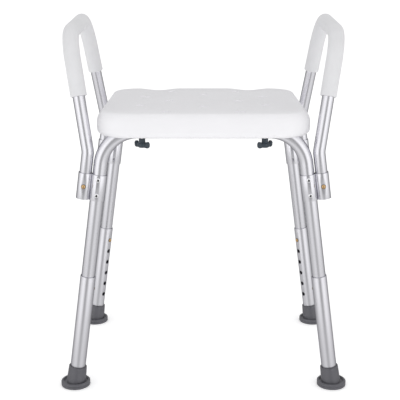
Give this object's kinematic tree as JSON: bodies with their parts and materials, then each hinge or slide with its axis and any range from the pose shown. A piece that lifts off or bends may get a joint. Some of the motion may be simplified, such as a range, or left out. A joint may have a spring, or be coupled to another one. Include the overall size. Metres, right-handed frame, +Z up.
{
  "type": "shower stool with arms",
  "caption": "Shower stool: moulded drained seat on two bent tube frames with height-adjusting legs, rubber feet and lift-off padded arm loops.",
  "frame": {"origin": "on the floor, midway between the four feet", "axes": "+Z up, the front of the stool towards -Y, +X to the right as seen from the front"},
  "size_m": [0.5462, 0.387, 0.6892],
  "materials": {
    "seat_plastic": "white moulded polyethylene, satin with a fine grain",
    "pad_foam": "pale grey closed-cell foam sleeve, matt",
    "aluminium_tube": "satin anodised tube with a fine drawn grain",
    "foot_rubber": "mid grey moulded rubber, matt",
    "knob_plastic": "dark slate moulded nylon",
    "brass": "plain turned brass",
    "steel": "bright zinc plated"
  },
  "bodies": {
    "frame": {"seat": "seat_plastic", "front_frame_tube": "aluminium_tube", "rear_frame_tube": "aluminium_tube", "seat_insert_front_left": "brass", "arm_bracket_front_left": "aluminium_tube", "bracket_screw_lower_front_left": "steel", "bracket_screw_upper_front_left": "steel", "leg_button_spring_front_left": "steel", "seat_insert_front_right": "brass", "arm_bracket_front_right": "aluminium_tube", "bracket_screw_lower_front_right": "steel", "bracket_screw_upper_front_right": "steel", "leg_button_spring_front_right": "steel", "seat_insert_rear_left": "brass", "arm_bracket_rear_left": "aluminium_tube", "bracket_screw_lower_rear_left": "steel", "bracket_screw_upper_rear_left": "steel", "leg_button_spring_rear_left": "steel", "seat_insert_rear_right": "brass", "arm_bracket_rear_right": "aluminium_tube", "bracket_screw_lower_rear_right": "steel", "bracket_screw_upper_rear_right": "steel", "leg_button_spring_rear_right": "steel"},
    "leg_front_left": {"leg_extension_front_left": "aluminium_tube", "rubber_foot_front_left": "foot_rubber", "foot_washer_front_left": "steel"},
    "leg_front_right": {"leg_extension_front_right": "aluminium_tube", "rubber_foot_front_right": "foot_rubber", "foot_washer_front_right": "steel"},
    "leg_rear_left": {"leg_extension_rear_left": "aluminium_tube", "rubber_foot_rear_left": "foot_rubber", "foot_washer_rear_left": "steel"},
    "leg_rear_right": {"leg_extension_rear_right": "aluminium_tube", "rubber_foot_rear_right": "foot_rubber", "foot_washer_rear_right": "steel"},
    "arm_left": {"arm_tube_left": "aluminium_tube", "arm_pad_left": "pad_foam", "arm_button_spring_front_left": "steel", "arm_button_spring_rear_left": "steel"},
    "arm_right": {"arm_tube_right": "aluminium_tube", "arm_pad_right": "pad_foam", "arm_button_spring_front_right": "steel", "arm_button_spring_rear_right": "steel"},
    "leg_button_front_left": {"leg_button_front_left": "brass"},
    "leg_button_front_right": {"leg_button_front_right": "brass"},
    "leg_button_rear_left": {"leg_button_rear_left": "brass"},
    "leg_button_rear_right": {"leg_button_rear_right": "brass"},
    "arm_button_front_left": {"arm_button_front_left": "brass"},
    "arm_button_front_right": {"arm_button_front_right": "brass"},
    "arm_button_rear_left": {"arm_button_rear_left": "brass"},
    "arm_button_rear_right": {"arm_button_rear_right": "brass"},
    "knob_front_left": {"knob_front_left": "knob_plastic", "knob_stud_front_left": "steel"},
    "knob_front_right": {"knob_front_right": "knob_plastic", "knob_stud_front_right": "steel"},
    "knob_rear_left": {"knob_rear_left": "knob_plastic", "knob_stud_rear_left": "steel"},
    "knob_rear_right": {"knob_rear_right": "knob_plastic", "knob_stud_rear_right": "steel"}
  },
  "joints": [
    {"name": "leg_height_front_left", "type": "slide", "parent": "frame", "child": "leg_front_left", "axis": [0.1357, 0, 0.9907], "range_m": [0, 0.127], "deforming": ["leg_button_front_left"]},
    {"name": "leg_height_front_right", "type": "slide", "parent": "frame", "child": "leg_front_right", "axis": [-0.1357, 0, 0.9907], "range_m": [0, 0.127], "deforming": ["leg_button_front_right"]},
    {"name": "leg_height_rear_left", "type": "slide", "parent": "frame", "child": "leg_rear_left", "axis": [0.1357, 0, 0.9907], "range_m": [0, 0.127], "deforming": ["leg_button_rear_left"]},
    {"name": "leg_height_rear_right", "type": "slide", "parent": "frame", "child": "leg_rear_right", "axis": [-0.1357, 0, 0.9907], "range_m": [0, 0.127], "deforming": ["leg_button_rear_right"]},
    {"name": "arm_lift_off_left", "type": "slide", "parent": "frame", "child": "arm_left", "axis": [0.1357, 0, 0.9907], "range_m": [0, 0.065], "deforming": ["arm_button_front_left", "arm_button_rear_left"]},
    {"name": "arm_lift_off_right", "type": "slide", "parent": "frame", "child": "arm_right", "axis": [-0.1357, 0, 0.9907], "range_m": [0, 0.065], "deforming": ["arm_button_front_right", "arm_button_rear_right"]},
    {"name": "leg_button_press_front_left", "type": "slide", "parent": "frame", "child": "leg_button_front_left", "axis": [-0.8116, -0.5736, 0.1112], "range_m": [0, 0.0042], "stiffness_N_per_m": 2000, "springref_m": -0.004, "deforming": ["leg_button_spring_front_left"]},
    {"name": "leg_button_press_front_right", "type": "slide", "parent": "frame", "child": "leg_button_front_right", "axis": [0.8116, -0.5736, 0.1112], "range_m": [0, 0.0042], "stiffness_N_per_m": 2000, "springref_m": -0.004, "deforming": ["leg_button_spring_front_right"]},
    {"name": "leg_button_press_rear_left", "type": "slide", "parent": "frame", "child": "leg_button_rear_left", "axis": [-0.8116, 0.5736, 0.1112], "range_m": [0, 0.0042], "stiffness_N_per_m": 2000, "springref_m": -0.004, "deforming": ["leg_button_spring_rear_left"]},
    {"name": "leg_button_press_rear_right", "type": "slide", "parent": "frame", "child": "leg_button_rear_right", "axis": [0.8116, 0.5736, 0.1112], "range_m": [0, 0.0042], "stiffness_N_per_m": 2000, "springref_m": -0.004, "deforming": ["leg_button_spring_rear_right"]},
    {"name": "arm_button_press_front_left", "type": "slide", "parent": "arm_left", "child": "arm_button_front_left", "axis": [0, 1, 0], "range_m": [0, 0.0042], "stiffness_N_per_m": 2000, "springref_m": -0.004, "deforming": ["arm_button_spring_front_left"]},
    {"name": "arm_button_press_front_right", "type": "slide", "parent": "arm_right", "child": "arm_button_front_right", "axis": [0, 1, 0], "range_m": [0, 0.0042], "stiffness_N_per_m": 2000, "springref_m": -0.004, "deforming": ["arm_button_spring_front_right"]},
    {"name": "arm_button_press_rear_left", "type": "slide", "parent": "arm_left", "child": "arm_button_rear_left", "axis": [0, -1, 0], "range_m": [0, 0.0042], "stiffness_N_per_m": 2000, "springref_m": -0.004, "deforming": ["arm_button_spring_rear_left"]},
    {"name": "arm_button_press_rear_right", "type": "slide", "parent": "arm_right", "child": "arm_button_rear_right", "axis": [0, -1, 0], "range_m": [0, 0.0042], "stiffness_N_per_m": 2000, "springref_m": -0.004, "deforming": ["arm_button_spring_rear_right"]},
    {"name": "knob_turn_front_left", "type": "hinge", "parent": "frame", "child": "knob_front_left", "pos_m": [-0.1106, -0.166, 0.47], "axis": [0, 0, 1], "continuous": true},
    {"name": "knob_turn_front_right", "type": "hinge", "parent": "frame", "child": "knob_front_right", "pos_m": [0.1106, -0.166, 0.47], "axis": [0, 0, 1], "continuous": true},
    {"name": "knob_turn_rear_left", "type": "hinge", "parent": "frame", "child": "knob_rear_left", "pos_m": [-0.1106, 0.166, 0.47], "axis": [0, 0, 1], "continuous": true},
    {"name": "knob_turn_rear_right", "type": "hinge", "parent": "frame", "child": "knob_rear_right", "pos_m": [0.1106, 0.166, 0.47], "axis": [0, 0, 1], "continuous": true}
  ]
}
